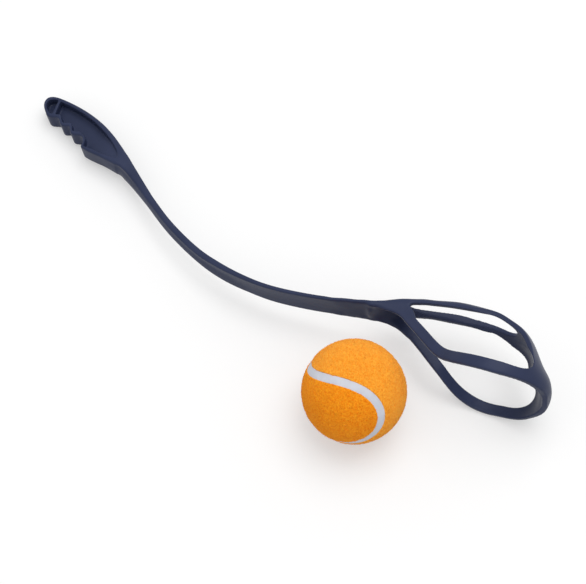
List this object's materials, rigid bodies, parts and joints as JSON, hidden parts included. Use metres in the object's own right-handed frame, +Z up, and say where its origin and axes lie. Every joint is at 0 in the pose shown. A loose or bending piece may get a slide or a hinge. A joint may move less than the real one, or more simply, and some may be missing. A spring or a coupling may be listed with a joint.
{
  "type": "dog ball thrower",
  "caption": "Moulded navy plastic ball thrower with an open strap basket, slim curved arm and finger-notched grip, lying beside an orange felt tennis ball.",
  "frame": {"origin": "middle of the footprint of the launcher and the ball, on the surface they lie on", "axes": "+Z up; the launcher lies with its grip towards -X and +Y and its basket towards +X; the ball is on the -Y side of the arm"},
  "size_m": [0.3304, 0.2648, 0.0703],
  "materials": {
    "navy_plastic": "fine matte moulded plastic",
    "orange_felt": "fuzzy wool felt",
    "seam_cement": "matte rubber cement",
    "core_rubber": "matte"
  },
  "bodies": {
    "launcher": {"basket": "navy_plastic", "arm": "navy_plastic", "grip": "navy_plastic"},
    "ball": {"ball_felt_a": "orange_felt", "ball_felt_b": "orange_felt", "ball_seam": "seam_cement", "ball_core_a": "core_rubber", "ball_core_b": "core_rubber"}
  },
  "joints": [
    {"name": "ball_lift", "type": "slide", "parent": "launcher", "child": "ball", "axis": [0, 0, 1], "range_m": [0, 0.12]}
  ]
}
